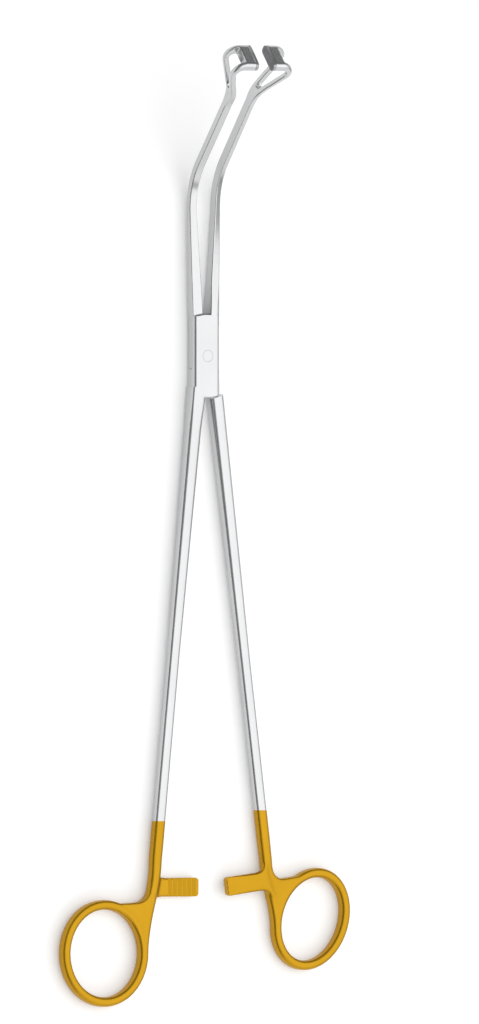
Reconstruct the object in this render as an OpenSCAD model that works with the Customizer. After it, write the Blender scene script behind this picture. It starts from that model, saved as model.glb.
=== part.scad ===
// Long Babcock forceps with bent arms, a box lock and ring handles.
// It lies flat: Y runs along the instrument towards the jaws, Z points away from the table,
// and the origin is on the pivot axis, on the underside of the box lock.
// All sizes are in millimetres, and the handles are drawn half open.

/* [Box lock] */
// Width of the box
box_w = 7.7; // [7:0.1:9]
// Depth of the box over both cheeks
box_depth = 4.8; // [4.4:0.1:6]
// Radius of the cheeks' round ends about the pivot
box_reach = 11; // [9.5:0.1:13]
// Rounding of the long edges of the box
box_edge_r = 0.7; // [0.3:0.1:1]
// Thickness of the tongue that passes through the box
tongue_t = 1.6; // [1:0.1:2]
// Play on each face of the tongue
tongue_play = 0.06; // [0.03:0.01:0.12]
// Gap between the tongue half's shoulders and the cheeks' ends
shoulder_gap = 0.2; // [0.1:0.05:0.4]
// Diameter of the riveted pivot pin
pin_d = 3; // [2:0.1:3.6]
// Radial play of the pin in the tongue
pin_play = 0.04; // [0.02:0.01:0.08]
// Radial play of the pin in the cheeks
rivet_play = 0.01; // [0.01:0.01:0.03]

/* [Jaw arms] */
// Distance from the pivot to the corner of the bend
arm_straight = 45.2; // [38:0.1:55]
// Angle that the arms bend out of the handles' plane
arm_bend = 42; // [20:1:50]
// Radius of that bend
arm_bend_r = 18; // [12:1:25]
// Length of the bent stretch, from the corner of the bend to the corner under the heads
arm_bent = 34.6; // [30:0.1:45]
// Further bend under the heads
head_bend = 6; // [2:1:12]
// Radius of that further bend
head_bend_r = 15; // [10:1:20]
// Gap between the arms above the box
arm_root_gap = 2; // [1.8:0.1:2.6]
// Gap between the arms where they leave the bend
arm_bend_gap = 5.6; // [4.5:0.1:7]
// Gap between the arms under the heads
arm_neck_gap = 5.2; // [4.6:0.1:7]
// Thickness of an arm at the box, seen from the front
arm_root_t = 2.95; // [2.5:0.05:3.2]
// Thickness of an arm from the bend on
arm_t = 1.85; // [1.5:0.05:2.4]
// Width of an arm's inner face at the box
arm_root_in = 3.5; // [3:0.1:4.2]
// Width of an arm's outer face at the box
arm_root_out = 3.1; // [2:0.1:3.6]
// Width of an arm's inner face from the bend on
arm_in = 3.1; // [2.4:0.1:3.6]
// Width of an arm's outer face from the bend on
arm_out = 1.7; // [1.2:0.1:2.4]
// Chamfer along the edges of the arms
arm_edge = 0.25; // [0.1:0.05:0.4]

/* [Jaw heads] */
// Distance from the corner under the heads to their ends
head_len = 10.2; // [9.6:0.1:13]
// Angle at which a head's frame leans outwards
bow_angle = 26; // [15:1:35]
// Radius where the frame starts to lean outwards
bow_r = 8; // [5:0.5:12]
// Straight length of the leaning frame
bow_len = 8; // [5:0.1:9]
// Radius at which the frame curls in to the contact face
curl_r = 2.6; // [2.2:0.1:3.2]
// Thickness of the frame
frame_t = 1.5; // [1:0.1:1.9]
// Length of the contact face, across the jaw
pad_len = 7.8; // [7:0.1:9]
// Height of the contact face
pad_h = 2.6; // [2:0.1:3]
// Thickness of the hard insert on the contact face
pad_t = 0.8; // [0.5:0.1:1.2]
// Distance between the two contact faces as drawn
pad_gap = 4.3; // [3.8:0.1:6]
// Corner radius of the contact face
pad_corner = 1.1; // [0.4:0.1:1.2]
// Length of the window in the frame
window_len = 9.4; // [6:0.1:10]
// Width of the window at its wide end
window_w = 5; // [3.6:0.1:5.6]
// Radius of the window's narrow end
window_r = 0.9; // [0.5:0.1:1.1]
// Distance from the end of the jaw to the part of the window under the contact face
window_bridge = 3; // [2.8:0.1:4]
// Thickness of the bar across the end of the jaw, with its insert
bar_t = 3.6; // [3:0.1:4.2]
// Length over which an arm widens to the contact face
flare_len = 14; // [10:0.1:15]
// Pitch of the crossed grooves in the insert, along its length
knurl_pitch = 0.48; // [0.4:0.02:0.8]
// Depth of the grooves
knurl_depth = 0.14; // [0.08:0.01:0.2]

/* [Shanks] */
// Distance of the box half's shank from the middle line, just under the box
box_shank_x = 2.43; // [2.2:0.01:3]
// Lean of the box half's shank
box_shank_lean = 5.7; // [5:0.1:7]
// Distance of the tongue half's shank from the middle line, just under the box
tongue_shank_x = 3.48; // [3:0.01:4]
// Lean of the tongue half's shank
tongue_shank_lean = 7.2; // [6:0.1:8]
// Length of the shanks, from the pivot to the ratchets
shank_len = 131; // [110:1:160]
// Width of a shank under the box
shank_root_w = 4.1; // [3.6:0.1:4.6]
// Depth of a shank under the box
shank_root_d = 4.5; // [4:0.1:4.8]
// Width of a shank at its slim end
shank_w = 3.2; // [2.6:0.1:3.8]
// Depth of a shank at its slim end
shank_d = 3.2; // [2.6:0.1:3.8]
// Length of the gilt end of the box half's shank
box_gilt_len = 10.2; // [5:0.1:30]
// Length of the gilt end of the tongue half's shank
tongue_gilt_len = 12.8; // [5:0.1:30]

/* [Finger rings] */
// Width of a ring's bar
ring_bar_w = 2.5; // [2:0.1:3.2]
// Depth of a ring's bar
ring_bar_d = 3.4; // [2.6:0.1:4.2]
// Half width of the box half's ring, at the middle of its bar
box_ring_a = 11.6; // [10:0.1:13]
// Half length of the box half's ring
box_ring_b = 12.6; // [11:0.1:14]
// Half width of the tongue half's ring
tongue_ring_a = 9.8; // [9:0.1:12]
// Half length of the tongue half's ring
tongue_ring_b = 12.5; // [11:0.1:14]
// Lean of the tongue half's ring
tongue_ring_lean = 25; // [0:1:30]
// Sideways step from the end of the box half's shank to the near side of its ring
box_ring_step = 3.8; // [2:0.1:6]
// Distance from the end of the box half's shank down to the middle of its ring
box_ring_drop = 24; // [18:0.1:28]
// Sideways step from the end of the tongue half's shank to the near side of its ring
tongue_ring_step = 3.1; // [2:0.1:5]
// Distance from the end of the tongue half's shank down to the middle of its ring
tongue_ring_drop = 15.7; // [14:0.1:24]
// Depth of the web between a ring and its shank
web_d = 2.8; // [2:0.1:3]
// Size of the hollow corner between web and shank
web_r = 4; // [2:0.5:6]
// Where the web meets the box half's ring, in degrees from its outer side
box_web_turn = 90; // [70:5:120]
// Where the web meets the tongue half's ring, in degrees from its outer side
tongue_web_turn = 120; // [90:5:140]

/* [Ratchets] */
// Height of a ratchet bar along the instrument
ratchet_h = 4.9; // [4:0.1:6]
// Thickness of a ratchet bar
ratchet_t = 2.1; // [1.6:0.1:2.3]
// Distance from the end of the shank down to the ratchet
ratchet_drop = 4.6; // [3:0.1:6]
// Size of the hollow corners between ratchet and shank
ratchet_r = 2.8; // [1:0.1:3.4]
// Chamfer of a ratchet's tip
tip_chamfer = 0.5; // [0.2:0.1:1]
// Free distance between the two bars' tips as drawn
ratchet_gap = 7.8; // [7.4:0.1:9]
// Distance of the box half's ratchet tip from the middle line
box_ratchet_tip = 1.5; // [0:0.1:3]
// Pitch of the teeth
tooth_pitch = 1.43; // [1.2:0.01:1.8]
// Number of teeth on a bar
tooth_count = 6; // [3:1:7]
// Depth of the teeth
tooth_depth = 0.6; // [0.3:0.1:0.9]
// Distance from the tip to the first tooth
first_tooth = 0.8; // [0.6:0.1:1.5]
// Play between the two rows of teeth, in depth
tooth_play = 0.2; // [0.1:0.05:0.4]

/* [Hidden] */
STEEL = "silver";
BRIGHT = "gainsboro";
GILT = "goldenrod";
mid_z = box_depth / 2;
sink = 3;
flare_curve = 0.9;

// Spine of the arms in the YZ plane: straight, bend, straight, small bend, straight
head_angle = arm_bend + head_bend;
trim_1 = arm_bend_r * tan(arm_bend / 2);
trim_2 = head_bend_r * tan(head_bend / 2);
t_bend = arm_straight - trim_1;
t_bent = t_bend + arm_bend_r * arm_bend * PI / 180;
t_neck = t_bent + arm_bent - trim_1 - trim_2;
t_head = t_neck + head_bend_r * head_bend * PI / 180;
t_end = t_head + head_len - trim_2;

function heading(t) = t < t_bend ? 0
    : t < t_bent ? (t - t_bend) / arm_bend_r * 180 / PI
    : t < t_neck ? arm_bend
    : t < t_head ? arm_bend + (t - t_neck) / head_bend_r * 180 / PI
    : head_angle;
function ahead(p, angle, len) = p + len * [cos(angle), sin(angle)];
function turned(p, from, to, r) = p + r * [sin(to) - sin(from), cos(from) - cos(to)];
p_bend = [t_bend, 0];
p_bent = turned(p_bend, 0, arm_bend, arm_bend_r);
p_neck = ahead(p_bent, arm_bend, t_neck - t_bent);
p_head = turned(p_neck, arm_bend, head_angle, head_bend_r);
p_end = ahead(p_head, head_angle, t_end - t_head);
function spine(t) = t < t_bend ? [t, 0]
    : t < t_bent ? turned(p_bend, 0, heading(t), arm_bend_r)
    : t < t_neck ? ahead(p_bent, arm_bend, t - t_bent)
    : t < t_head ? turned(p_neck, arm_bend, heading(t), head_bend_r)
    : ahead(p_head, head_angle, t - t_head);

// Side profile of a head: it leans outwards, then curls in to the contact face
seat_x = pad_gap / 2 + pad_t;
t_curl_end = t_end - pad_h / 2;
lean_rise = bow_r * sin(bow_angle) + bow_len * cos(bow_angle);
curl_rise = curl_r * (1 + sin(bow_angle));
t_bow = t_curl_end - lean_rise - curl_rise;
neck_x = arm_neck_gap / 2 + arm_t / 2;
bow_x = neck_x + bow_r * (1 - cos(bow_angle));
lean_x = bow_x + bow_len * sin(bow_angle);
t_lean = t_bow + bow_r * sin(bow_angle);
t_curl = t_lean + bow_len * cos(bow_angle);

// Widths of the arms along the spine
arm_gap_table = [[box_reach, arm_root_gap], [t_bend, arm_bend_gap], [t_bow, arm_neck_gap]];
arm_t_table = [[box_reach, arm_root_t], [t_bend, arm_t], [t_bow, arm_t]];
arm_in_table = [[box_reach, arm_root_in], [t_bend, arm_in], [t_bow, arm_in]];
arm_out_table = [[box_reach, arm_root_out], [t_bend, arm_out], [t_bow, arm_out]];

// Share of the head's flare that is reached at t, from 0 at the neck to 1 at the contact face
flare_start = t_end - pad_h - flare_len;
function flare(t) = pow(max(0, min(1, (t - flare_start) / flare_len)), flare_curve);
function thick(t) = t < t_bow ? lookup(t, arm_t_table)
    : arm_t + (frame_t - arm_t) * min(1, (t - t_bow) / (t_lean - t_bow));
function in_w(t) = lookup(t, arm_in_table) + (pad_len - arm_in) * flare(t);
function out_w(t) = lookup(t, arm_out_table) + (pad_len - arm_out) * flare(t);

// One section of an arm: t along the spine, x off the middle line, tilt of the frame,
// thickness, inner and outer widths, and the chamfer of its corners
function arm_station(t) = [t, lookup(t, arm_gap_table) / 2 + lookup(t, arm_t_table) / 2, 0,
    thick(t), in_w(t), out_w(t), arm_edge];
function bow_station(a) = [t_bow + bow_r * sin(a), neck_x + bow_r * (1 - cos(a)), a,
    thick(t_bow + bow_r * sin(a)), in_w(t_bow + bow_r * sin(a)), out_w(t_bow + bow_r * sin(a)), arm_edge];
function lean_station(t) = [t, bow_x + (t - t_lean) * tan(bow_angle), bow_angle,
    thick(t), in_w(t), out_w(t), arm_edge];
function curl_share(a) = (bow_angle - a) / (bow_angle + 90);
function curl_station(a) = [t_curl + curl_r * (sin(bow_angle) - sin(a)),
    lean_x + curl_r * (cos(a) - cos(bow_angle)), a,
    frame_t + (pad_h - frame_t) * pow(curl_share(a), 2),
    in_w(t_curl + curl_r * (sin(bow_angle) - sin(a))),
    out_w(t_curl + curl_r * (sin(bow_angle) - sin(a))),
    arm_edge + (seat_edge - arm_edge) * curl_share(a)];
seat_edge = 0.7 * pad_corner;
seat_station = [t_curl_end, seat_x, -90, pad_h, pad_len, pad_len, seat_edge];
jaw_stations = concat(
    [for (t = [box_reach - sink, box_reach, (box_reach + t_bend) / 2]) arm_station(t)],
    [for (k = [0:7]) arm_station(t_bend + (t_bent - t_bend) * k / 7)],
    [arm_station((t_bent + t_bow) / 2)],
    [for (k = [0:3]) bow_station(bow_angle * k / 3)],
    [for (k = [1:4]) lean_station(t_lean + (t_curl - t_lean) * k / 5)],
    [for (k = [0:9]) curl_station(bow_angle - (bow_angle + 90) * k / 9)],
    [seat_station]);

// Corner points of a section: a across the frame's thickness, b across its width
function ring_2d(s) = [
    [-s[3] / 2, -(s[4] / 2 - s[6])], [-s[3] / 2, s[4] / 2 - s[6]],
    [-s[3] / 2 + s[6], s[4] / 2], [s[3] / 2 - s[6], s[5] / 2],
    [s[3] / 2, s[5] / 2 - s[6]], [s[3] / 2, -(s[5] / 2 - s[6])],
    [s[3] / 2 - s[6], -s[5] / 2], [-s[3] / 2 + s[6], -s[4] / 2]];
function place(s, p) = let (
        h = heading(s[0]),
        o = spine(s[0]),
        along = -p[0] * sin(s[2]),
        across = p[0] * cos(s[2]))
    [s[1] + across,
     o[0] + along * cos(h) - p[1] * sin(h),
     o[1] + along * sin(h) + p[1] * cos(h) + mid_z];

// Solid skin over equal rings of points
module loft(rings) {
    n = len(rings[0]);
    m = len(rings);
    sides = [for (i = [0:m - 2], j = [0:n - 1], half = [0:1])
        half == 0
            ? [i * n + j, (i + 1) * n + j, i * n + (j + 1) % n]
            : [i * n + (j + 1) % n, (i + 1) * n + j, (i + 1) * n + (j + 1) % n]];
    first = [[for (j = [0:n - 1]) j]];
    last = [[for (j = [0:n - 1]) m * n - 1 - j]];
    polyhedron(points = [for (r = rings) each r], faces = concat(sides, first, last), convexity = 6);
}
module jaw_blank() {
    loft([for (s = jaw_stations) [for (p = ring_2d(s)) place(s, p)]]);
}

// Local frame of a head: X towards its end, Y across the jaw, Z away from the other jaw
module in_head() {
    translate([0, p_end[0], p_end[1] + mid_z])
        rotate([head_angle, 0, 0])
            rotate([90, 0, 90])
                children();
}
module window() {
    end_x = -window_bridge;
    start_x = end_x - window_len + window_r;
    lean = asin((window_w / 2 - window_r) / (window_len - window_r));
    in_head() {
        linear_extrude(4 * neck_x) {
            translate([start_x, 0])
                circle(r = window_r, $fn = 32);
            polygon([
                [start_x - window_r * sin(lean), window_r * cos(lean)],
                [start_x - window_r * sin(lean), -window_r * cos(lean)],
                [end_x, -window_w / 2], [end_x, window_w / 2]]);
        }
        translate([end_x - 1, -window_w / 2, pad_gap / 2 + bar_t])
            cube([window_bridge + 2, window_w, 3 * neck_x]);
    }
}
module jaw() {
    color(STEEL)
        difference() {
            jaw_blank();
            window();
        }
}

// Contact insert: a rounded plate cut by two rows of crossed grooves
module pad_outline() {
    crown_r = 4 * pad_len;
    intersection() {
        translate([-crown_r, 0])
            circle(r = crown_r, $fn = 180);
        union() {
            translate([-pad_h, -pad_len / 2 + pad_corner])
                square([pad_h, pad_len - 2 * pad_corner]);
            translate([-pad_h + pad_corner, -pad_len / 2])
                square([pad_h - 2 * pad_corner, pad_len]);
            for (x = [-pad_h + pad_corner, -pad_corner], y = [-1, 1])
                translate([x, y * (pad_len / 2 - pad_corner)])
                    circle(r = pad_corner, $fn = 32);
        }
    }
}
module groove(turn, k) {
    step = knurl_pitch * sin(45);
    side = knurl_depth * sqrt(2);
    translate([-pad_h / 2, 0, pad_gap / 2])
        rotate([0, 0, turn])
            translate([0, k * step, 0])
                rotate([45, 0, 0])
                    cube([2 * pad_len, side, side], center = true);
}
module insert() {
    rows = floor((pad_len + pad_h) / 2 / knurl_pitch);
    color(BRIGHT)
        in_head()
            difference() {
                translate([0, 0, pad_gap / 2])
                    linear_extrude(pad_t)
                        pad_outline();
                for (k = [-rows:rows], turn = [45, -45])
                    groove(turn, k);
            }
}

// Box lock: a rounded bar between two round ends, with a slot right through for the tongue
module rounded_bar(w, d, r) {
    square([w - 2 * r, d], center = true);
    square([w, d - 2 * r], center = true);
    for (x = [-1, 1], y = [-1, 1])
        translate([x * (w / 2 - r), y * (d / 2 - r)])
            circle(r = r, $fn = 32);
}
module box_blank() {
    translate([0, 0, mid_z])
        intersection() {
            rotate([90, 0, 0])
                linear_extrude(3 * box_reach, center = true)
                    rounded_bar(box_w, box_depth, box_edge_r);
            cylinder(r = box_reach, h = 2 * box_depth, center = true, $fn = 180);
        }
}
tongue_inset = 0.1;
tongue_end = box_reach + 1.2;
function flank(inner, side) = [
    [-side, tongue_end], [-inner, tongue_end], [-inner, 0.8 * box_reach],
    [box_w / 2 - 4 * tongue_inset, 0.22 * box_reach], [box_w / 2, 0]];
module tongue() {
    arm_side = flank(arm_root_gap / 2 + tongue_inset, box_w / 2);
    shank_side = flank(tongue_shank_x - shank_root_w / 2 + 3 * tongue_inset, box_w / 2 + 1);
    translate([0, 0, mid_z - tongue_t / 2])
        linear_extrude(tongue_t)
            polygon(concat(arm_side, [for (p = shank_side) -p]));
}
slot_wide = 2 * box_w;
slot_web = 0.45 * box_reach;
slot_side = [[-slot_wide, box_reach], [arm_root_gap / 2, box_reach],
    [arm_root_gap / 2, 0.95 * box_reach], [box_w / 2, slot_web], [slot_wide, slot_web]];
module slot() {
    slot_t = tongue_t + 2 * tongue_play;
    translate([0, 0, mid_z - slot_t / 2])
        intersection() {
            linear_extrude(slot_t)
                polygon(concat(slot_side, [for (p = slot_side) -p]));
            cylinder(r = box_reach, h = 3 * box_depth, center = true, $fn = 180);
        }
}

// Shanks: rounded sections between the box and the ratchet
function shank_x(x0, lean, y) = x0 + (y - box_reach) * tan(lean);
shank_waist = 0.6 * shank_len;
shank_w_table = [[box_reach, shank_root_w], [shank_waist, shank_w], [shank_len, shank_w]];
shank_d_table = [[box_reach, shank_root_d], [shank_waist, shank_d], [shank_len, shank_d]];
function soft(c) = sign(c) * pow(abs(c), 0.7);
function bar_ring(x, y, w, d) = [for (a = [0:30:330])
    [x + w / 2 * soft(cos(a)), -y, mid_z + d / 2 * soft(sin(a))]];
function shank_ring(x0, lean, y) = bar_ring(shank_x(x0, lean, y), y,
    lookup(y, shank_w_table), lookup(y, shank_d_table));
module steel_shank(x0, lean, gilt_len) {
    color(STEEL)
        loft([for (y = [box_reach - sink, box_reach, shank_waist / 2, shank_waist, shank_len - gilt_len])
            shank_ring(x0, lean, y)]);
}

// The gilt end: the shank runs down into the near side of the ring
function eased(u) = u * u * (3 - 2 * u);
function run_down(x0, lean, near, u) = let (
        end_x = shank_x(x0, lean, shank_len),
        drop = -near[1] - shank_len)
    [end_x + (near[0] - end_x) * eased(u), -shank_len - u * drop];
module gilt_shank(x0, lean, near, gilt_len) {
    color(GILT)
        loft(concat([for (y = [shank_len - gilt_len, shank_len]) shank_ring(x0, lean, y)],
            [for (u = [0.25:0.25:1]) let (p = run_down(x0, lean, near, u))
                bar_ring(p[0], -p[1],
                    shank_w + (ring_bar_w - shank_w) * u, shank_d + (ring_bar_d - shank_d) * u)]));
}

// Oval finger ring, its bar half as thick again in depth as in width
function oval(centre, a, b, lean, turn) = centre
    + a * cos(turn) * [cos(lean), -sin(lean)] + b * sin(turn) * [sin(lean), cos(lean)];
function outward(centre, a, b, lean, turn) = let (
        step = oval(centre, a, b, lean, turn + 1) - oval(centre, a, b, lean, turn - 1))
    [step[1], -step[0]] / norm(step);
module ring(centre, a, b, lean) {
    steps = 40;
    around = [0:36:324];
    rings = [for (k = [0:steps - 1]) let (
            p = oval(centre, a, b, lean, k * 360 / steps),
            out = outward(centre, a, b, lean, k * 360 / steps))
        [for (g = around)
            [p[0] + out[0] * ring_bar_w / 2 * cos(g), p[1] + out[1] * ring_bar_w / 2 * cos(g),
             mid_z + ring_bar_d / 2 * sin(g)]]];
    n = len(rings[0]);
    faces = [for (i = [0:steps - 1], j = [0:n - 1], half = [0:1])
        let (i2 = (i + 1) % steps, j2 = (j + 1) % n)
        half == 0 ? [i * n + j, i * n + j2, i2 * n + j] : [i * n + j2, i2 * n + j2, i2 * n + j]];
    color(GILT)
        polyhedron(points = [for (r = rings) each r], faces = faces, convexity = 6);
}

web_bury = 0.5;

// Hollow corner from one line to another: a curve between two points that are r from the corner
function corner_curve(corner, from, to, r) = [for (u = [0:0.125:1])
    corner + r * (pow(1 - u, 2) * from + pow(u, 2) * to)];
module web(x0, lean, near, centre, a, b, ring_lean, turn, near_turn) {
    out = outward(centre, a, b, ring_lean, turn);
    along = [-out[1], out[0]];
    top = oval(centre, a, b, ring_lean, turn) + out * web_bury;
    u_top = (-shank_len - top[1]) / (-shank_len - near[1]);
    side = run_down(x0, lean, near, u_top) + [shank_w / 2 - web_bury, 0];
    corner = top + along * (side[0] - top[0]) / along[0];
    u_up = u_top - web_r / (-shank_len - near[1]);
    up = run_down(x0, lean, near, u_up) + [shank_w / 2 - web_bury, 0];
    color(GILT)
        translate([0, 0, mid_z - web_d / 2])
            linear_extrude(web_d)
                polygon(concat(
                    corner_curve(corner, (up - corner) / web_r, -along, web_r),
                    [for (k = [0:8]) oval(centre, a, b, ring_lean, turn + (near_turn - turn) * k / 8)],
                    [for (k = [0:8]) run_down(x0, lean, near, 1 - (1 - u_up) * k / 8)]));
}

// Ratchet bar: runs from the shank to its tip, with one row of sloping teeth
module ratchet(x0, lean, tip, tilt, teeth_up) {
    reach = shank_x(x0, lean, shank_len + ratchet_drop) - tip - 1;
    half_h = ratchet_h / 2;
    crest = (tooth_depth - tooth_play) / 2;
    slope = 0.85 * tooth_pitch;
    translate([tip, -shank_len - ratchet_drop - half_h, mid_z])
        rotate([0, 0, tilt])
            mirror([0, 0, teeth_up ? 0 : 1])
                color(GILT)
                    difference() {
                        translate([0, 0, crest - ratchet_t])
                            linear_extrude(ratchet_t)
                                polygon(concat(
                                    [[0, -half_h + tip_chamfer], [tip_chamfer, -half_h]],
                                    corner_curve([reach + 1, -half_h], [-1, 0], [0.3, -1], ratchet_r),
                                    corner_curve([reach, half_h], [0, 1], [-1, 0], ratchet_r),
                                    [[tip_chamfer, half_h], [0, half_h - tip_chamfer]]));
                        for (k = [0:tooth_count - 1])
                            translate([first_tooth + k * tooth_pitch, 0, crest])
                                rotate([90, 0, 0])
                                    linear_extrude(2 * ratchet_h, center = true)
                                        polygon([[0, 0], [slope, -tooth_depth],
                                            [slope, tooth_depth], [0, tooth_depth]]);
                    }
}

// Where the rings lie: the near side of each is a step away from the end of its shank
box_ring_centre = [shank_x(box_shank_x, box_shank_lean, shank_len) + box_ring_step + box_ring_a,
    -shank_len - box_ring_drop];
box_ring_near = box_ring_centre - [box_ring_a, 0];
tongue_ring_half_w = norm([tongue_ring_a * cos(tongue_ring_lean), tongue_ring_b * sin(tongue_ring_lean)]);
tongue_ring_centre = [shank_x(tongue_shank_x, tongue_shank_lean, shank_len)
    + tongue_ring_step + tongue_ring_half_w, -shank_len - tongue_ring_drop];
near_turn = 180 + atan2(tongue_ring_b * sin(tongue_ring_lean), tongue_ring_a * cos(tongue_ring_lean));
tongue_ring_near = oval(tongue_ring_centre, tongue_ring_a, tongue_ring_b, tongue_ring_lean, near_turn);

module pivot_bore(play) {
    translate([0, 0, -box_depth / 2])
        cylinder(d = pin_d + 2 * play, h = 2 * box_depth, $fn = 64);
}

// Half with the box: right jaw, cheeks, left shank, left ring
module box_half() {
    difference() {
        union() {
            jaw();
            color(STEEL)
                box_blank();
            mirror([1, 0, 0]) {
                steel_shank(box_shank_x, box_shank_lean, box_gilt_len);
                gilt_shank(box_shank_x, box_shank_lean, box_ring_near, box_gilt_len);
                ring(box_ring_centre, box_ring_a, box_ring_b, 0);
                web(box_shank_x, box_shank_lean, box_ring_near, box_ring_centre,
                    box_ring_a, box_ring_b, 0, box_web_turn, 180);
                ratchet(box_shank_x, box_shank_lean, box_ratchet_tip, 0, true);
            }
        }
        slot();
        pivot_bore(rivet_play);
    }
}

// Half with the tongue: left jaw, right shank, right ring
module tongue_half() {
    difference() {
        union() {
            difference() {
                union() {
                    mirror([1, 0, 0])
                        jaw();
                    steel_shank(tongue_shank_x, tongue_shank_lean, tongue_gilt_len);
                }
                translate([0, 0, -box_depth])
                    cylinder(r = box_reach + shoulder_gap, h = 3 * box_depth, $fn = 180);
            }
            color(STEEL)
                tongue();
            gilt_shank(tongue_shank_x, tongue_shank_lean, tongue_ring_near, tongue_gilt_len);
            ring(tongue_ring_centre, tongue_ring_a, tongue_ring_b, tongue_ring_lean);
            web(tongue_shank_x, tongue_shank_lean, tongue_ring_near, tongue_ring_centre,
                tongue_ring_a, tongue_ring_b, tongue_ring_lean, tongue_web_turn, near_turn);
            ratchet(tongue_shank_x, tongue_shank_lean, ratchet_gap - box_ratchet_tip, tongue_shank_lean, false);
        }
        pivot_bore(pin_play);
    }
}

// Pin riveted flush with both cheeks
module pivot_pin() {
    color(BRIGHT)
        cylinder(d = pin_d, h = box_depth, $fn = 64);
}
module box_half_insert() {
    insert();
}
module tongue_half_insert() {
    mirror([1, 0, 0])
        insert();
}

box_half();
tongue_half();
pivot_pin();
box_half_insert();
tongue_half_insert();
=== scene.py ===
import math

import bmesh
import bpy
from mathutils import Matrix, Vector


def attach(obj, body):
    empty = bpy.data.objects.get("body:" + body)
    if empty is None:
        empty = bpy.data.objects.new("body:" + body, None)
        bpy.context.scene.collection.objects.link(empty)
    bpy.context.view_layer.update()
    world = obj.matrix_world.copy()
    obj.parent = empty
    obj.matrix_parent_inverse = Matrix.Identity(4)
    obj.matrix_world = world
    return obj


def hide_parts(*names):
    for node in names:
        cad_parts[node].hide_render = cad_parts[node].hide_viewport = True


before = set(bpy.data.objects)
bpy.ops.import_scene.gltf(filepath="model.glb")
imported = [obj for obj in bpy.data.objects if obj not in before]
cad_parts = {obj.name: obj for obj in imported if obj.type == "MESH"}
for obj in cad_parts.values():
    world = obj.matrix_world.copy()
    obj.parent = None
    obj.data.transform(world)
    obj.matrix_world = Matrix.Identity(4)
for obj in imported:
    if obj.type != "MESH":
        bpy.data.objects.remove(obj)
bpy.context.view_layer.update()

# The forceps lie on a pale table: Y runs along them towards the jaws and Z points away from the table.
# Shapes are worked out in millimetres, and every mesh is written in metres.
MM = 0.001

# Photograph: its frame, its scale, and where the pivot lies in it
PHOTO_W = 479
PHOTO_H = 1024
MM_PER_PIXEL = 0.26
PIVOT_PX = (203.3, 356.0)
VIEW_TILT = 30.0
CAMERA_DISTANCE = 5.0
SENSOR = 36.0

# Box lock
BOX_W = 7.7
BOX_DEPTH = 4.8
BOX_REACH = 11.0
BOX_EDGE_R = 1.4
BOX_END_CHAMFER = 0.35
BLANK_REACH = 1.2 * BOX_REACH
SLOT_WEB = 3.4
SLOT_PLAY = 0.1
SLOT_CORNER = 0.95 * BOX_REACH
TONGUE_CORNER = 0.8 * BOX_REACH
TONGUE_OVERLAP = 1.2
TONGUE_INSET = 0.1
TONGUE_ROOT_INSET = 0.3
TONGUE_T = 1.6
TONGUE_PLAY = 0.06
SHOULDER_GAP = 0.2
PIN_D = 3.0
PIN_CHAMFER = 0.05
PIN_PLAY = 0.04
RIVET_PLAY = 0.01
MID_Z = BOX_DEPTH / 2
SINK = 3.0

# Arms
ARM_STRAIGHT = 45.2
ARM_BEND = 42.0
ARM_BEND_R = 18.0
ARM_BENT = 34.6
HEAD_BEND = 6.0
HEAD_BEND_R = 15.0
ARM_ROOT_GAP = 2.0
ARM_BEND_GAP = 5.6
ARM_NECK_GAP = 5.2
ARM_ROOT_T = 2.95
ARM_T = 1.85
ARM_ROOT_IN = 3.5
ARM_ROOT_OUT = 3.1
ARM_IN = 3.1
ARM_OUT = 1.7
ARM_EDGE = 0.35

# How far the box half's arm and shank take to ease from the box's depth to their own
FLOW_LEN = 9.0

# Heads
HEAD_LEN = 10.2
BOW_ANGLE = 26.0
BOW_R = 8.0
BOW_LEN = 8.0
CURL_R = 2.6
FRAME_T = 1.5
PAD_LEN = 7.8
PAD_H = 2.6
PAD_T = 0.8
PAD_GAP = 4.3
PAD_CORNER = 1.1
FLARE_LEN = 15.2
FLARE_EASE = 0.08
WINDOW_LEN = 9.4
WINDOW_W = 5.0
WINDOW_R = 0.9
WINDOW_BRIDGE = 3.0
BAR_T = 3.6

# Shanks: each has its x at the end of the box and its outward angle
BOX_SHANK = (2.43, 5.7)
TONGUE_SHANK = (3.48, 7.2)
SHANK_LEN = 131.0
SHANK_ROOT_W = 4.1
SHANK_ROOT_D = 4.5
SHANK_W = 3.2
SHANK_D = 3.2
WAIST = 0.6 * SHANK_LEN
BOX_GILT_LEN = 10.2
TONGUE_GILT_LEN = 12.8

# Rings: each oval has two half axes and a lean
BAR_W = 2.5
BAR_D = 3.4
BOX_RING = (11.6, 12.6, 0.0)
TONGUE_RING = (9.8, 12.5, 25.0)
BOX_RING_STEP = 3.8
BOX_RING_DROP = 24.0
TONGUE_RING_STEP = 3.1
TONGUE_RING_DROP = 15.7
WEB_D = 3.2
WEB_R = 4.0
WEB_BURY = 0.5
BOX_WEB_TURN = 90.0
TONGUE_WEB_TURN = 120.0

# Ratchets
RATCHET_H = 4.9
RATCHET_T = 2.1
RATCHET_DROP = 4.6
RATCHET_R = 2.8
RATCHET_SPREAD = 0.3
TIP_CHAMFER = 0.5
RATCHET_GAP = 7.8
BOX_RATCHET_TIP = 1.5
TOOTH_PITCH = 1.43
TOOTH_COUNT = 6
TOOTH_DEPTH = 0.6
TOOTH_PLAY = 0.2
TOOTH_SHARE = 0.85
FIRST_TOOTH = 0.8

# Smooth skins: voxel sizes, how far a bar is swelled before its skin is eased, and the easing passes
HEAD_VOXEL = 0.13
GILT_VOXEL = 0.17
SWELL = 0.05
HEAD_PASSES = 5
GILT_PASSES = 6

# A head's skin starts this far before its end. Each skin is made with a lap, which is then cut away
NECK_CUT = 18.0
NECK_LAP = 2.0
NECK_SEAM = 0.02
GILT_LAP = 3.0

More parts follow.
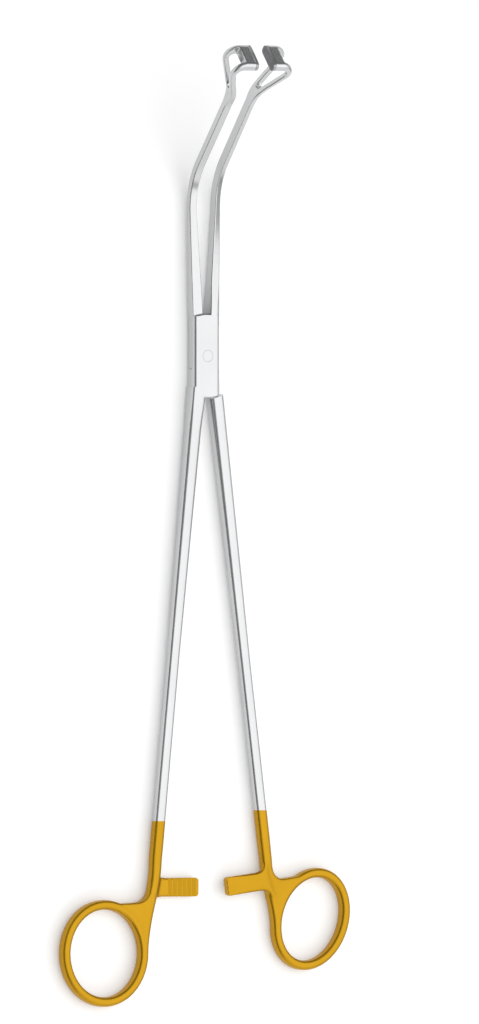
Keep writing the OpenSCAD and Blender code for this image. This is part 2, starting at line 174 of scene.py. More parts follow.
# The skin is eased again round the root of each ring: the root's place, its reach and the passes
ROOT_SHARE = 0.35
ROOT_REACH = 12.0
ROOT_PASSES = 90

# Sections: the power that rounds a bar, and the flat kept beside a rounded edge
SOFTNESS = 0.7
BOX_SOFTNESS = 0.45
EDGE_FLAT = 0.05

# How far a cutter passes the surface that it cuts, and the blocks that keep a head or a handle
PAST = 1.0
HEAD_BLOCK = 60.0
HANDLE_BLOCK = 200.0

# Steps along the lofts and round the curves, and the angle above which an edge stays sharp
ARM_STEPS = 60
BOW_STEPS = 8
LEAN_STEPS = 5
CURL_STEPS = 24
SHANK_STEPS = 60
GILT_STEPS = 12
RUN_DOWN_STEPS = 20
RING_STEPS = 120
RING_SECTION_STEPS = 32
ARC_STEPS = 16
ROUND_STEPS = 192
BORE_STEPS = 96
SHARP_ANGLE = 40.0

# Metals: each pair of tones is mixed by a cloud, and the gilt is rougher than the steel
STEEL_TONES = ((0.52, 0.525, 0.53, 1), (0.6, 0.605, 0.61, 1))
GILT_TONES = ((0.45, 0.244, 0.012, 1), (0.53, 0.288, 0.016, 1))
HARD_TONES = ((0.3, 0.3, 0.31, 1), (0.45, 0.45, 0.46, 1))
STEEL_ROUGHNESS = (0.16, 0.26)
GILT_ROUGHER = 0.16
HARD_ROUGHNESS = 0.38
BRUSH_STRETCH = (900, 40, 900)

# Table, with half its side in metres
FLOOR_HALF = 3.0
FLOOR_GLOW = 0.25
FLOOR_TONE = (0.85, 0.85, 0.85, 1)

# Light: the least and most of the dome, and each lamp's place and size in metres and its brightness
DOME_LEVELS = (0.15, 0.5)
LAMPS = (
    ("overhead", (0.24, 0.0, 0.89), (1.2, 1.9), 1.1),
    ("low_front", (0.2, -0.95, 0.48), (1.4, 1.0), 0.9),
    ("low_right", (1.05, -0.2, 0.3), (1.5, 0.5), 0.35),
)


def rad(angle):
    return math.radians(angle)


def sin(angle):
    return math.sin(rad(angle))


def cos(angle):
    return math.cos(rad(angle))


def shares(count):
    return [k / count for k in range(count + 1)]


def blend(start, end, share):
    return start + (end - start) * share


def lookup(t, table):
    if t <= table[0][0]:
        return table[0][1]
    for (t0, v0), (t1, v1) in zip(table, table[1:]):
        if t <= t1:
            return v0 + (v1 - v0) * (t - t0) / (t1 - t0)
    return table[-1][1]


# Spine of the arms in the YZ plane
HEAD_ANGLE = ARM_BEND + HEAD_BEND
TRIM_1 = ARM_BEND_R * math.tan(rad(ARM_BEND / 2))
TRIM_2 = HEAD_BEND_R * math.tan(rad(HEAD_BEND / 2))
T_BEND = ARM_STRAIGHT - TRIM_1
T_BENT = T_BEND + ARM_BEND_R * rad(ARM_BEND)
T_NECK = T_BENT + ARM_BENT - TRIM_1 - TRIM_2
T_HEAD = T_NECK + HEAD_BEND_R * rad(HEAD_BEND)
T_END = T_HEAD + HEAD_LEN - TRIM_2


def ahead(p, angle, length):
    return (p[0] + length * cos(angle), p[1] + length * sin(angle))


def turned(p, start, end, r):
    return (p[0] + r * (sin(end) - sin(start)), p[1] + r * (cos(start) - cos(end)))


P_BEND = (T_BEND, 0.0)
P_BENT = turned(P_BEND, 0, ARM_BEND, ARM_BEND_R)
P_NECK = ahead(P_BENT, ARM_BEND, T_NECK - T_BENT)
P_HEAD = turned(P_NECK, ARM_BEND, HEAD_ANGLE, HEAD_BEND_R)
P_END = ahead(P_HEAD, HEAD_ANGLE, T_END - T_HEAD)


def heading(t):
    if t < T_BEND:
        return 0.0
    if t < T_BENT:
        return math.degrees((t - T_BEND) / ARM_BEND_R)
    if t < T_NECK:
        return ARM_BEND
    if t < T_HEAD:
        return ARM_BEND + math.degrees((t - T_NECK) / HEAD_BEND_R)
    return HEAD_ANGLE


def spine(t):
    if t < T_BEND:
        return (t, 0.0)
    if t < T_BENT:
        return turned(P_BEND, 0, heading(t), ARM_BEND_R)
    if t < T_NECK:
        return ahead(P_BENT, ARM_BEND, t - T_BENT)
    if t < T_HEAD:
        return turned(P_NECK, ARM_BEND, heading(t), HEAD_BEND_R)
    return ahead(P_HEAD, HEAD_ANGLE, t - T_HEAD)


# Side profile of a head
SEAT_X = PAD_GAP / 2 + PAD_T
T_CURL_END = T_END - PAD_H / 2
T_BOW = T_CURL_END - BOW_R * sin(BOW_ANGLE) - BOW_LEN * cos(BOW_ANGLE) - CURL_R * (1 + sin(BOW_ANGLE))
NECK_X = ARM_NECK_GAP / 2 + ARM_T / 2
BOW_X = NECK_X + BOW_R * (1 - cos(BOW_ANGLE))
LEAN_X = BOW_X + BOW_LEN * sin(BOW_ANGLE)
T_LEAN = T_BOW + BOW_R * sin(BOW_ANGLE)
T_CURL = T_LEAN + BOW_LEN * cos(BOW_ANGLE)
GAP_TABLE = [(BOX_REACH, ARM_ROOT_GAP), (T_BEND, ARM_BEND_GAP), (T_BOW, ARM_NECK_GAP)]
T_TABLE = [(BOX_REACH, ARM_ROOT_T), (T_BEND, ARM_T), (T_BOW, ARM_T)]
IN_TABLE = [(BOX_REACH, ARM_ROOT_IN), (T_BEND, ARM_IN), (T_BOW, ARM_IN)]
OUT_TABLE = [(BOX_REACH, ARM_ROOT_OUT), (T_BEND, ARM_OUT), (T_BOW, ARM_OUT)]


def flare(t):
    start = T_END - PAD_H - FLARE_LEN
    u = max(0.0, min(1.0, (t - start) / FLARE_LEN))
    return u * u * (1 + FLARE_EASE) / (u + FLARE_EASE)


def thick(t):
    if t < T_BOW:
        return lookup(t, T_TABLE)
    return ARM_T + (FRAME_T - ARM_T) * min(1.0, (t - T_BOW) / (T_LEAN - T_BOW))


def in_w(t):
    return lookup(t, IN_TABLE) + (PAD_LEN - ARM_IN) * flare(t)


def out_w(t):
    return lookup(t, OUT_TABLE) + (PAD_LEN - ARM_OUT) * flare(t)


def flow(y):
    u = max(0.0, min(1.0, (y - BOX_REACH) / FLOW_LEN))
    return u * u * (3 - 2 * u)


# Each row gives the place along the spine, x, tilt, thickness, inner and outer width, and their edge radii
def jaw_stations(flush):
    rows = []
    start = BOX_REACH - SINK
    for u in shares(ARM_STEPS)[:-1]:
        t = start + (T_BOW - start) * u
        x = lookup(t, GAP_TABLE) / 2 + lookup(t, T_TABLE) / 2
        near_box = 1 - flow(t) if flush else 0.0
        inner = blend(in_w(t), BOX_DEPTH, near_box)
        outer = blend(out_w(t), BOX_DEPTH, near_box)
        rows.append((t, x, 0.0, thick(t), inner, outer, ARM_EDGE, blend(ARM_EDGE, BOX_EDGE_R, near_box)))
    for u in shares(BOW_STEPS):
        a = BOW_ANGLE * u
        t = T_BOW + BOW_R * sin(a)
        rows.append((t, NECK_X + BOW_R * (1 - cos(a)), a, thick(t), in_w(t), out_w(t), ARM_EDGE, ARM_EDGE))
    for u in shares(LEAN_STEPS)[1:-1]:
        t = T_LEAN + (T_CURL - T_LEAN) * u
        x = BOW_X + (LEAN_X - BOW_X) * u
        rows.append((t, x, BOW_ANGLE, thick(t), in_w(t), out_w(t), ARM_EDGE, ARM_EDGE))
    for share in shares(CURL_STEPS):
        a = BOW_ANGLE - (BOW_ANGLE + 90) * share
        t = T_CURL + CURL_R * (sin(BOW_ANGLE) - sin(a))
        x = LEAN_X + CURL_R * (cos(a) - cos(BOW_ANGLE))
        edge = blend(ARM_EDGE, PAD_CORNER, share)
        rows.append((t, x, a, blend(FRAME_T, PAD_H, share ** 2), in_w(t), out_w(t), edge, edge))
    rows.append((T_CURL_END, SEAT_X, -90.0, PAD_H, PAD_LEN, PAD_LEN, PAD_CORNER, PAD_CORNER))
    return rows


def rounded(corners, radii, steps=4):
    points = []
    n = len(corners)
    for i, corner in enumerate(corners):
        p = Vector(corner)
        r = radii[i]
        before = (Vector(corners[i - 1]) - p).normalized()
        after = (Vector(corners[(i + 1) % n]) - p).normalized()
        points.append(p + (r + EDGE_FLAT) * before)
        for u in shares(steps):
            points.append(p + r * ((1 - u) ** 2 * before + u ** 2 * after))
        points.append(p + (r + EDGE_FLAT) * after)
    return points


def jaw_ring(row):
    t, x, tilt, thickness, inner, outer, inner_edge, outer_edge = row
    h = heading(t)
    y0, z0 = spine(t)
    section = rounded([(-thickness / 2, -inner / 2), (-thickness / 2, inner / 2),
                       (thickness / 2, outer / 2), (thickness / 2, -outer / 2)],
                      [inner_edge, inner_edge, outer_edge, outer_edge])
    ring = []
    for a, b in section:
        along = -a * sin(tilt)
        y = y0 + along * cos(h) - b * sin(h)
        z = z0 + along * sin(h) + b * cos(h)
        ring.append((x + a * cos(tilt), y, z + MID_Z))
    return ring


# Mesh helpers
def loft(rings, closed=False):
    mesh = bmesh.new()
    rows = [[mesh.verts.new(p) for p in ring] for ring in rings]
    n = len(rows[0])
    pairs = list(zip(rows, rows[1:]))
    if closed:
        pairs.append((rows[-1], rows[0]))
    for low, high in pairs:
        for j in range(n):
            mesh.faces.new((low[j], low[(j + 1) % n], high[(j + 1) % n], high[j]))
    if not closed:
        mesh.faces.new(list(reversed(rows[0])))
        mesh.faces.new(rows[-1])
    bmesh.ops.recalc_face_normals(mesh, faces=mesh.faces)
    return mesh


def prism(outline, low, high):
    return loft([[(x, y, low) for x, y in outline], [(x, y, high) for x, y in outline]])


def to_object(mesh, name):
    data = bpy.data.meshes.new(name)
    bmesh.ops.recalc_face_normals(mesh, faces=mesh.faces)
    mesh.to_mesh(data)
    mesh.free()
    obj = bpy.data.objects.new(name, data)
    bpy.context.scene.collection.objects.link(obj)
    return obj


def moved(mesh, matrix):
    bmesh.ops.transform(mesh, matrix=matrix, verts=mesh.verts)
    if matrix.determinant() < 0:
        bmesh.ops.reverse_faces(mesh, faces=mesh.faces)
    return mesh


def apply_modifiers(obj):
    bpy.context.view_layer.update()
    graph = bpy.context.evaluated_depsgraph_get()
    data = bpy.data.meshes.new_from_object(obj.evaluated_get(graph))
    old = obj.data
    obj.modifiers.clear()
    obj.data = data
    bpy.data.meshes.remove(old)


def combine(obj, other, operation):
    tool = obj.modifiers.new("combine", "BOOLEAN")
    tool.operation = operation
    tool.solver = "MANIFOLD"
    tool.object = other
    apply_modifiers(obj)
    bpy.data.objects.remove(other)
    return obj


def cut(obj, *others):
    for other in others:
        combine(obj, other, "DIFFERENCE")
    return obj


def keep(obj, other):
    return combine(obj, other, "INTERSECT")


def union(obj, *others):
    for other in others:
        combine(obj, other, "UNION")
    return obj


def copied(obj):
    twin = obj.copy()
    twin.data = obj.data.copy()
    bpy.context.scene.collection.objects.link(twin)
    return twin


def skinned(obj, voxel, passes):
    fuse = obj.modifiers.new("fuse", "REMESH")
    fuse.mode = "VOXEL"
    fuse.voxel_size = voxel
    ease = obj.modifiers.new("ease", "SMOOTH")
    ease.factor = 0.5
    ease.iterations = passes
    apply_modifiers(obj)
    return obj


def eased_near(obj, centre, reach, passes):
    group = obj.vertex_groups.new(name="root")
    for vertex in obj.data.vertices:
        away = (Vector(vertex.co.xy) - Vector(centre)).length / reach
        weight = max(0.0, min(1.0, 2 * (1 - away)))
        if weight > 0:
            group.add([vertex.index], weight, "REPLACE")
    ease = obj.modifiers.new("ease", "SMOOTH")
    ease.factor = 0.5
    ease.iterations = passes
    ease.vertex_group = "root"
    apply_modifiers(obj)
    obj.vertex_groups.clear()
    return obj


def block(size, matrix):
    half = size / 2
    outline = [(-half, -half), (half, -half), (half, half), (-half, half)]
    return to_object(moved(prism(outline, 0.0, size), matrix), "block")


def circle(r, steps):
    return [(r * cos(360 * k / steps), r * sin(360 * k / steps)) for k in range(steps)]


def barrel(r, chamfer, steps=ROUND_STEPS):
    rows = []
    for z, radius in ((0, r - chamfer), (chamfer, r), (BOX_DEPTH - chamfer, r), (BOX_DEPTH, r - chamfer)):
        rows.append([(x, y, z) for x, y in circle(radius, steps)])
    return to_object(loft(rows), "barrel")


def through(r, name, steps=ROUND_STEPS):
    return to_object(prism(circle(r, steps), -BOX_DEPTH, 2 * BOX_DEPTH), name)


# Jaw, for the right-hand side
HEAD_FRAME = (Matrix.Translation((0, P_END[0], P_END[1] + MID_Z)) @ Matrix.Rotation(rad(HEAD_ANGLE), 4, "X")
              @ Matrix(((0, 0, 1, 0), (1, 0, 0, 0), (0, 1, 0, 0), (0, 0, 0, 1))))


def window():
    end_x = -WINDOW_BRIDGE
    start_x = end_x - WINDOW_LEN + WINDOW_R
    lean = math.degrees(math.asin((WINDOW_W / 2 - WINDOW_R) / (WINDOW_LEN - WINDOW_R)))
    arc = [90 + lean + (180 - 2 * lean) * u for u in shares(ARC_STEPS)]
    outline = [(start_x + WINDOW_R * cos(a), WINDOW_R * sin(a)) for a in arc]
    outline += [(end_x, -WINDOW_W / 2), (end_x, WINDOW_W / 2)]
    top = 4 * NECK_X
    low = moved(prism(outline, 0.0, top), HEAD_FRAME)
    half = WINDOW_W / 2
    over = [(end_x - PAST, -half), (PAST, -half), (PAST, half), (end_x - PAST, half)]
    high = moved(prism(over, PAD_GAP / 2 + BAR_T, top), HEAD_FRAME)
    return to_object(low, "window"), to_object(high, "window_top")


def beyond(t):
    y, z = spine(t)
    facing = Matrix.Rotation(rad(heading(t) - 90), 4, "X")
    return block(HEAD_BLOCK, Matrix.Translation((0, y, z + MID_Z)) @ facing)


def jaw(flush):
    t_cut = T_END - NECK_CUT
    arm = to_object(loft([jaw_ring(row) for row in jaw_stations(flush)]), "jaw")
    head = keep(copied(arm), beyond(t_cut - NECK_LAP))
    head = skinned(cut(head, *window()), HEAD_VOXEL, HEAD_PASSES)
    head = keep(head, beyond(t_cut))
    return union(cut(arm, beyond(t_cut + NECK_SEAM)), head)


# Box lock
def box_blank():
    half_w = BOX_W / 2
    half_d = BOX_DEPTH / 2
    corners = [(-half_w, -half_d), (half_w, -half_d), (half_w, half_d), (-half_w, half_d)]
    section = rounded(corners, [BOX_EDGE_R] * len(corners), steps=8)
    bar = loft([[(x, y, z + MID_Z) for x, z in section] for y in (-BLANK_REACH, BLANK_REACH)])
    return keep(to_object(bar, "box"), barrel(BOX_REACH, BOX_END_CHAMFER))


def both_ways(points, other=None):
    return points + [(-x, -y) for x, y in (other or points)]


def flank(inner, side):
    end = BOX_REACH + TONGUE_OVERLAP
    return [(-side, end), (-inner, end), (-inner, TONGUE_CORNER), (BOX_W / 2, SLOT_WEB - SLOT_PLAY)]


def tongue():
    arm_side = flank(ARM_ROOT_GAP / 2 + TONGUE_INSET, BOX_W / 2)
    shank_side = flank(TONGUE_SHANK[0] - SHANK_ROOT_W / 2 + TONGUE_ROOT_INSET, BOX_W / 2 + PAST)
    outline = both_ways(arm_side, shank_side)
    return to_object(prism(outline, MID_Z - TONGUE_T / 2, MID_Z + TONGUE_T / 2), "tongue")


def slot():
    half_gap = ARM_ROOT_GAP / 2
    wide = 2 * BOX_W
    end = BOX_REACH + PAST
    side = [(-wide, end), (half_gap, end), (half_gap, SLOT_CORNER), (BOX_W / 2, SLOT_WEB), (wide, SLOT_WEB)]
    half_t = TONGUE_T / 2 + TONGUE_PLAY
    tool = to_object(prism(both_ways(side), MID_Z - half_t, MID_Z + half_t), "slot")
    return keep(tool, through(BOX_REACH, "ends"))


def pivot_bore(play):
    return through(PIN_D / 2 + play, "bore", BORE_STEPS)


# Shanks and rings, with x outwards
def shank_x(shank, y):
    return shank[0] + (y - BOX_REACH) * math.tan(rad(shank[1]))


W_TABLE = [(BOX_REACH, SHANK_ROOT_W), (WAIST, SHANK_W), (SHANK_LEN, SHANK_W)]
D_TABLE = [(BOX_REACH, SHANK_ROOT_D), (WAIST, SHANK_D), (SHANK_LEN, SHANK_D)]


def soft(value, power=SOFTNESS):
    return math.copysign(abs(value) ** power, value)


def bar_ring(x, y, w, d, power=SOFTNESS, steps=40):
    angles = [360 * k / steps for k in range(steps)]
    return [(x + w / 2 * soft(cos(a), power), -y, MID_Z + d / 2 * soft(sin(a), power)) for a in angles]


def oval(centre, ring, turn):
    a, b, lean = ring
    return Vector((centre[0] + a * cos(turn) * cos(lean) + b * sin(turn) * sin(lean),
                   centre[1] - a * cos(turn) * sin(lean) + b * sin(turn) * cos(lean)))


def outward(centre, ring, turn):
    step = oval(centre, ring, turn + 1) - oval(centre, ring, turn - 1)
    return Vector((step.y, -step.x)).normalized()


def ring_half_width(ring):
    a, b, lean = ring
    return math.hypot(a * cos(lean), b * sin(lean))


def ring_centre(shank, ring, step, drop):
    return (shank_x(shank, SHANK_LEN) + step + ring_half_width(ring), -SHANK_LEN - drop)


def shank(side, start, end, flush):
    rows = []
    for u in shares(SHANK_STEPS):
        y = blend(start, end, u)
        near_box = 1 - flow(y) if flush else 0.0
        deep = blend(lookup(y, D_TABLE), BOX_DEPTH, near_box)
        power = blend(SOFTNESS, BOX_SOFTNESS, near_box)
        rows.append(bar_ring(shank_x(side, y), y, lookup(y, W_TABLE), deep, power))
    return to_object(loft(rows), "shank")


def run_down(side, near, u):
    end_x = shank_x(side, SHANK_LEN)
    eased = u * u * (3 - 2 * u)
    return (end_x + (near.x - end_x) * eased, -SHANK_LEN - u * (-near.y - SHANK_LEN))


def gilt_shank(side, near, start):
    rows = []
    for u in shares(GILT_STEPS)[:-1]:
        y = blend(start, SHANK_LEN, u)
        rows.append(bar_ring(shank_x(side, y), y, SHANK_W + SWELL, SHANK_D + SWELL))
    for u in shares(RUN_DOWN_STEPS):
        x, y = run_down(side, near, u)
        w = blend(SHANK_W, BAR_W, u) + SWELL
        d = blend(SHANK_D, BAR_D, u) + SWELL
        rows.append(bar_ring(x, -y, w, d))
    return to_object(loft(rows), "gilt_shank")


def finger_ring(centre, ring):
    half_w = (BAR_W + SWELL) / 2
    half_d = (BAR_D + SWELL) / 2
    around = [360 * u for u in shares(RING_SECTION_STEPS)[:-1]]
    section = [(half_w * soft(cos(g)), half_d * soft(sin(g))) for g in around]
    rows = []
    for u in shares(RING_STEPS)[:-1]:
        p = oval(centre, ring, 360 * u)
        out = outward(centre, ring, 360 * u)
        rows.append([(p.x + out.x * a, p.y + out.y * a, MID_Z + b) for a, b in section])
    return to_object(loft(rows, closed=True), "ring")


def corner_curve(corner, start, end, r, steps=10):
    return [(corner[0] + r * ((1 - u) ** 2 * start[0] + u ** 2 * end[0]),
             corner[1] + r * ((1 - u) ** 2 * start[1] + u ** 2 * end[1])) for u in shares(steps)]


def web(side, near, centre, ring, turn, near_turn):
    out = outward(centre, ring, turn)
    along = Vector((-out.y, out.x))
    top = oval(centre, ring, turn) + out * WEB_BURY
    drop = -near.y - SHANK_LEN
    u_top = (-SHANK_LEN - top.y) / drop
    u_up = u_top - WEB_R / drop
    inset = SHANK_W / 2 - WEB_BURY
    side_x = run_down(side, near, u_top)[0] + inset
    corner = top + along * ((side_x - top.x) / along.x)
    up = Vector(run_down(side, near, u_up)) + Vector((inset, 0))
    outline = corner_curve(corner, (up - corner) / WEB_R, -along, WEB_R)
    outline += [tuple(oval(centre, ring, blend(turn, near_turn, u))) for u in shares(ARC_STEPS)]
    outline += [run_down(side, near, blend(1, u_up, u)) for u in shares(ARC_STEPS)]
    return to_object(prism(outline, MID_Z - WEB_D / 2, MID_Z + WEB_D / 2), "web")


def ratchet_frame(tip, tilt, teeth_up):
    place = Matrix.Translation((tip, -SHANK_LEN - RATCHET_DROP - RATCHET_H / 2, MID_Z))
    turn = Matrix.Rotation(rad(tilt), 4, "Z")
    flip = Matrix.Diagonal((1, 1, 1 if teeth_up else -1, 1))
    return place @ turn @ flip


CREST = (TOOTH_DEPTH - TOOTH_PLAY) / 2


def ratchet(side, tip, tilt, teeth_up):
    reach = shank_x(side, SHANK_LEN + RATCHET_DROP) - tip - PAST
    half = RATCHET_H / 2
    outline = [(0, -half + TIP_CHAMFER), (TIP_CHAMFER, -half)]
    outline += corner_curve((reach + PAST, -half), (-1, 0), (RATCHET_SPREAD, -1), RATCHET_R)
    outline += corner_curve((reach, half), (0, 1), (-1, 0), RATCHET_R)
    outline += [(TIP_CHAMFER, half), (0, half - TIP_CHAMFER)]
    plate = prism(outline, CREST - RATCHET_T, CREST)
    return to_object(moved(plate, ratchet_frame(tip, tilt, teeth_up)), "ratchet")


def teeth(tip, tilt, teeth_up):
    rise = TOOTH_PITCH * TOOTH_SHARE
    wide = RATCHET_H
    low = CREST - TOOTH_DEPTH
    high = CREST + TOOTH_DEPTH
    whole = bmesh.new()
    for k in range(TOOTH_COUNT):
        x0 = FIRST_TOOTH + k * TOOTH_PITCH
        profile = [(x0, CREST), (x0 + rise, low), (x0 + rise, high), (x0, high)]
        tooth = loft([[(x, -wide, z) for x, z in profile], [(x, wide, z) for x, z in profile]])
        data = bpy.data.meshes.new("tooth")
        tooth.to_mesh(data)
        tooth.free()
        whole.from_mesh(data)
        bpy.data.meshes.remove(data)
    return to_object(moved(whole, ratchet_frame(tip, tilt, teeth_up)), "teeth")


MIRROR = Matrix.Diagonal((-1, 1, 1, 1))


def mirrored(obj):
    obj.data.transform(MIRROR)
    obj.data.flip_normals()
    return obj


def handle(side, ring, step, drop, web_turn, tip, tilt, teeth_up, gilt_len, flush):
    centre = ring_centre(side, ring, step, drop)
    a, b, lean = ring
    near_turn = 180 + math.degrees(math.atan2(b * sin(lean), a * cos(lean)))
    near = oval(centre, ring, near_turn)
    gilt_y = SHANK_LEN - gilt_len
    whole = gilt_shank(side, near, gilt_y - GILT_LAP)
    for part in (finger_ring(centre, ring), web(side, near, centre, ring, web_turn, near_turn),
                 ratchet(side, tip, tilt, teeth_up)):
        union(whole, part)
    whole = skinned(whole, GILT_VOXEL, GILT_PASSES)
    whole = eased_near(whole, run_down(side, near, ROOT_SHARE), ROOT_REACH, ROOT_PASSES)
    facing = Matrix.Rotation(rad(90), 4, "X")
    whole = keep(whole, block(HANDLE_BLOCK, Matrix.Translation((0, -gilt_y, 0)) @ facing))
    whole = cut(whole, teeth(tip, tilt, teeth_up))
    return union(whole, shank(side, BOX_REACH - SINK, gilt_y + PAST, flush))


def box_half():
    lower = mirrored(handle(BOX_SHANK, BOX_RING, BOX_RING_STEP, BOX_RING_DROP, BOX_WEB_TURN,
                            BOX_RATCHET_TIP, 0, True, BOX_GILT_LEN, True))
    return cut(union(lower, jaw(True), box_blank()), slot(), pivot_bore(RIVET_PLAY))


def shoulder():
    return through(BOX_REACH + SHOULDER_GAP, "shoulder")


def tongue_half():
    lower = handle(TONGUE_SHANK, TONGUE_RING, TONGUE_RING_STEP, TONGUE_RING_DROP, TONGUE_WEB_TURN,
                   RATCHET_GAP - BOX_RATCHET_TIP, TONGUE_SHANK[1], False, TONGUE_GILT_LEN, False)
    arms = cut(union(lower, mirrored(jaw(False))), shoulder())
    return cut(union(arms, tongue()), pivot_bore(PIN_PLAY))


# Materials
def material(name):
    mat = bpy.data.materials.new(name)
    mat.use_nodes = True
    nodes = mat.node_tree.nodes
    return mat, nodes, mat.node_tree.links, nodes["Principled BSDF"]


def add(nodes, kind, **values):
    node = nodes.new(kind)
    for key, value in values.items():
        setattr(node, key, value)
    return node


def tone_mix(nodes, links, share, tones):
    mix = add(nodes, "ShaderNodeMix", data_type="RGBA")
    mix.inputs["A"].default_value = tones[0]
    mix.inputs["B"].default_value = tones[1]
    links.new(share, mix.inputs["Factor"])
    return mix.outputs["Result"]


def polished_metal(name, gilt_len):
    mat, nodes, links, shader = material(name)
    coord = add(nodes, "ShaderNodeTexCoord")
    split = add(nodes, "ShaderNodeSeparateXYZ")
    links.new(coord.outputs["Object"], split.inputs[0])
    gilt = add(nodes, "ShaderNodeMath", operation="LESS_THAN")
    links.new(split.outputs["Y"], gilt.inputs[0])
    gilt.inputs[1].default_value = (gilt_len - SHANK_LEN) * MM
    cloud = add(nodes, "ShaderNodeTexNoise")
    cloud.inputs["Scale"].default_value = 60
    cloud.inputs["Detail"].default_value = 3
    links.new(coord.outputs["Object"], cloud.inputs["Vector"])
    tone = add(nodes, "ShaderNodeMix", data_type="RGBA")
    links.new(gilt.outputs[0], tone.inputs["Factor"])
    links.new(tone_mix(nodes, links, cloud.outputs["Fac"], STEEL_TONES), tone.inputs["A"])
    links.new(tone_mix(nodes, links, cloud.outputs["Fac"], GILT_TONES), tone.inputs["B"])
    links.new(tone.outputs["Result"], shader.inputs["Base Color"])
    shader.inputs["Metallic"].default_value = 1.0
    lines = add(nodes, "ShaderNodeMapping")
    lines.inputs["Scale"].default_value = BRUSH_STRETCH
    links.new(coord.outputs["Object"], lines.inputs["Vector"])
    brush = add(nodes, "ShaderNodeTexNoise")
    brush.inputs["Scale"].default_value = 4
    brush.inputs["Detail"].default_value = 4
    links.new(lines.outputs[0], brush.inputs["Vector"])
    shine = add(nodes, "ShaderNodeMapRange")
    shine.inputs["To Min"].default_value = STEEL_ROUGHNESS[0]
    shine.inputs["To Max"].default_value = STEEL_ROUGHNESS[1]
    links.new(brush.outputs["Fac"], shine.inputs["Value"])
    satin = add(nodes, "ShaderNodeMath", operation="MULTIPLY_ADD")
    links.new(gilt.outputs[0], satin.inputs[0])
    satin.inputs[1].default_value = GILT_ROUGHER
    links.new(shine.outputs[0], satin.inputs[2])
    links.new(satin.outputs[0], shader.inputs["Roughness"])
    bump = add(nodes, "ShaderNodeBump")
    bump.inputs["Strength"].default_value = 0.06
    bump.inputs["Distance"].default_value = 0.00005
    links.new(brush.outputs["Fac"], bump.inputs["Height"])
    links.new(bump.outputs[0], shader.inputs["Normal"])
    return mat


def hard_metal():
    mat, nodes, links, shader = material("hard_insert")
    coord = add(nodes, "ShaderNodeTexCoord")
    cloud = add(nodes, "ShaderNodeTexNoise")
    cloud.inputs["Scale"].default_value = 900
    links.new(coord.outputs["Object"], cloud.inputs["Vector"])
    links.new(tone_mix(nodes, links, cloud.outputs["Fac"], HARD_TONES), shader.inputs["Base Color"])
    shader.inputs["Metallic"].default_value = 1.0
    shader.inputs["Roughness"].default_value = HARD_ROUGHNESS
    return mat


def dress(obj, mat):
    obj.data.materials.clear()
    obj.data.materials.append(mat)


# Table and light
def floor():
    half = FLOOR_HALF
    mesh = bmesh.new()
    corners = ((-half, -half, 0), (half, -half, 0), (half, half, 0), (-half, half, 0))
    mesh.faces.new([mesh.verts.new(p) for p in corners])
    obj = to_object(mesh, "table")
    mat, nodes, links, shader = material("pale_table")
    shader.inputs["Base Color"].default_value = FLOOR_TONE
    shader.inputs["Roughness"].default_value = 0.9
    shader.inputs["Specular IOR Level"].default_value = 0.0
    shader.inputs["Emission Color"].default_value = (1, 1, 1, 1)
    path = add(nodes, "ShaderNodeLightPath")
    seen = add(nodes, "ShaderNodeMath", operation="MAXIMUM")
    links.new(path.outputs["Is Camera Ray"], seen.inputs[0])
    links.new(path.outputs["Is Glossy Ray"], seen.inputs[1])
    also = add(nodes, "ShaderNodeMath", operation="MAXIMUM")
    links.new(seen.outputs[0], also.inputs[0])
    links.new(path.outputs["Is Transmission Ray"], also.inputs[1])
    glow = add(nodes, "ShaderNodeMath", operation="MULTIPLY")
    links.new(also.outputs[0], glow.inputs[0])
    glow.inputs[1].default_value = FLOOR_GLOW
    links.new(glow.outputs[0], shader.inputs["Emission Strength"])
    dress(obj, mat)


def soft_light(name, position, size, level):
    data = bpy.data.lights.new(name, "AREA")
    data.shape = "RECTANGLE"
    data.size, data.size_y = size
    data.energy = level * math.pi * size[0] * size[1]
    obj = bpy.data.objects.new(name, data)
    obj.location = position
    obj.rotation_euler = (-Vector(position)).to_track_quat("-Z", "Y").to_euler()
    bpy.context.scene.collection.objects.link(obj)


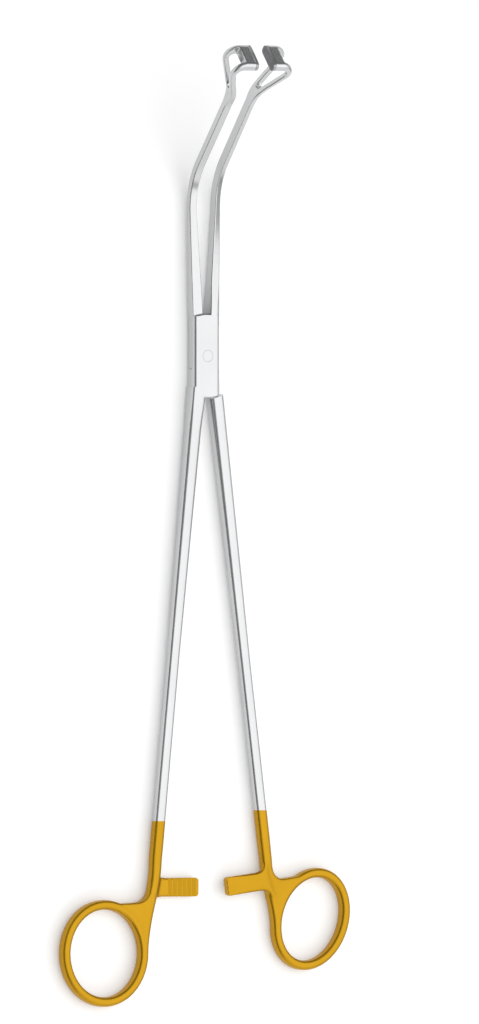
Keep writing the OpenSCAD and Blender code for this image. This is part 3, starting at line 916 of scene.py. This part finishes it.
def lights():
    world = bpy.data.worlds.new("studio")
    bpy.context.scene.world = world
    world.use_nodes = True
    nodes = world.node_tree.nodes
    links = world.node_tree.links
    background = nodes["Background"]
    background.inputs["Color"].default_value = (1, 1, 1, 1)
    coord = add(nodes, "ShaderNodeTexCoord")
    split = add(nodes, "ShaderNodeSeparateXYZ")
    links.new(coord.outputs["Generated"], split.inputs[0])
    dome = add(nodes, "ShaderNodeMapRange", interpolation_type="SMOOTHSTEP")
    dome.inputs["To Min"].default_value = DOME_LEVELS[0]
    dome.inputs["To Max"].default_value = DOME_LEVELS[1]
    links.new(split.outputs["Z"], dome.inputs["Value"])
    links.new(dome.outputs[0], background.inputs["Strength"])
    for lamp in LAMPS:
        soft_light(*lamp)


def camera():
    data = bpy.data.cameras.new("camera")
    height = PHOTO_H * MM_PER_PIXEL * MM
    data.sensor_width = SENSOR
    data.lens = SENSOR * CAMERA_DISTANCE / height
    data.clip_end = 4 * CAMERA_DISTANCE
    obj = bpy.data.objects.new("camera", data)
    towards = Vector((-sin(VIEW_TILT), 0, cos(VIEW_TILT)))
    right = Vector((cos(VIEW_TILT), 0, sin(VIEW_TILT)))
    up = Vector((0, 1, 0))
    across = (PHOTO_W / 2 - PIVOT_PX[0]) * MM_PER_PIXEL
    above = (PIVOT_PX[1] - PHOTO_H / 2) * MM_PER_PIXEL
    centre = (Vector((0, 0, MID_Z)) + right * across + up * above) * MM
    obj.matrix_world = (Matrix.Translation(centre + towards * CAMERA_DISTANCE)
                        @ Matrix((right, up, towards)).transposed().to_4x4())
    bpy.context.scene.collection.objects.link(obj)
    bpy.context.scene.camera = obj


def finish_piece(obj, name, body, node, mat):
    obj.name = name
    obj.data.transform(Matrix.Scale(MM, 4))
    for face in obj.data.polygons:
        face.use_smooth = True
    obj.data.set_sharp_from_angle(angle=rad(SHARP_ANGLE))
    shade = obj.modifiers.new("shade", "WEIGHTED_NORMAL")
    shade.keep_sharp = True
    apply_modifiers(obj)
    dress(obj, mat)
    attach(obj, body)
    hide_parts(node)


def pin():
    return barrel(PIN_D / 2, PIN_CHAMFER, BORE_STEPS)


camera()
floor()
lights()
finish_piece(box_half(), "box_half_forging", "box_body", "box_half",
             polished_metal("box_half_metal", BOX_GILT_LEN))
finish_piece(tongue_half(), "tongue_half_forging", "tongue_body", "tongue_half",
             polished_metal("tongue_half_metal", TONGUE_GILT_LEN))
finish_piece(pin(), "pivot_pin_steel", "box_body", "pivot_pin", polished_metal("pin_metal", BOX_GILT_LEN))
insert_metal = hard_metal()
for node in ("box_half_insert", "tongue_half_insert"):
    dress(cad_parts[node], insert_metal)

bpy.context.scene.view_settings.view_transform = "Standard"
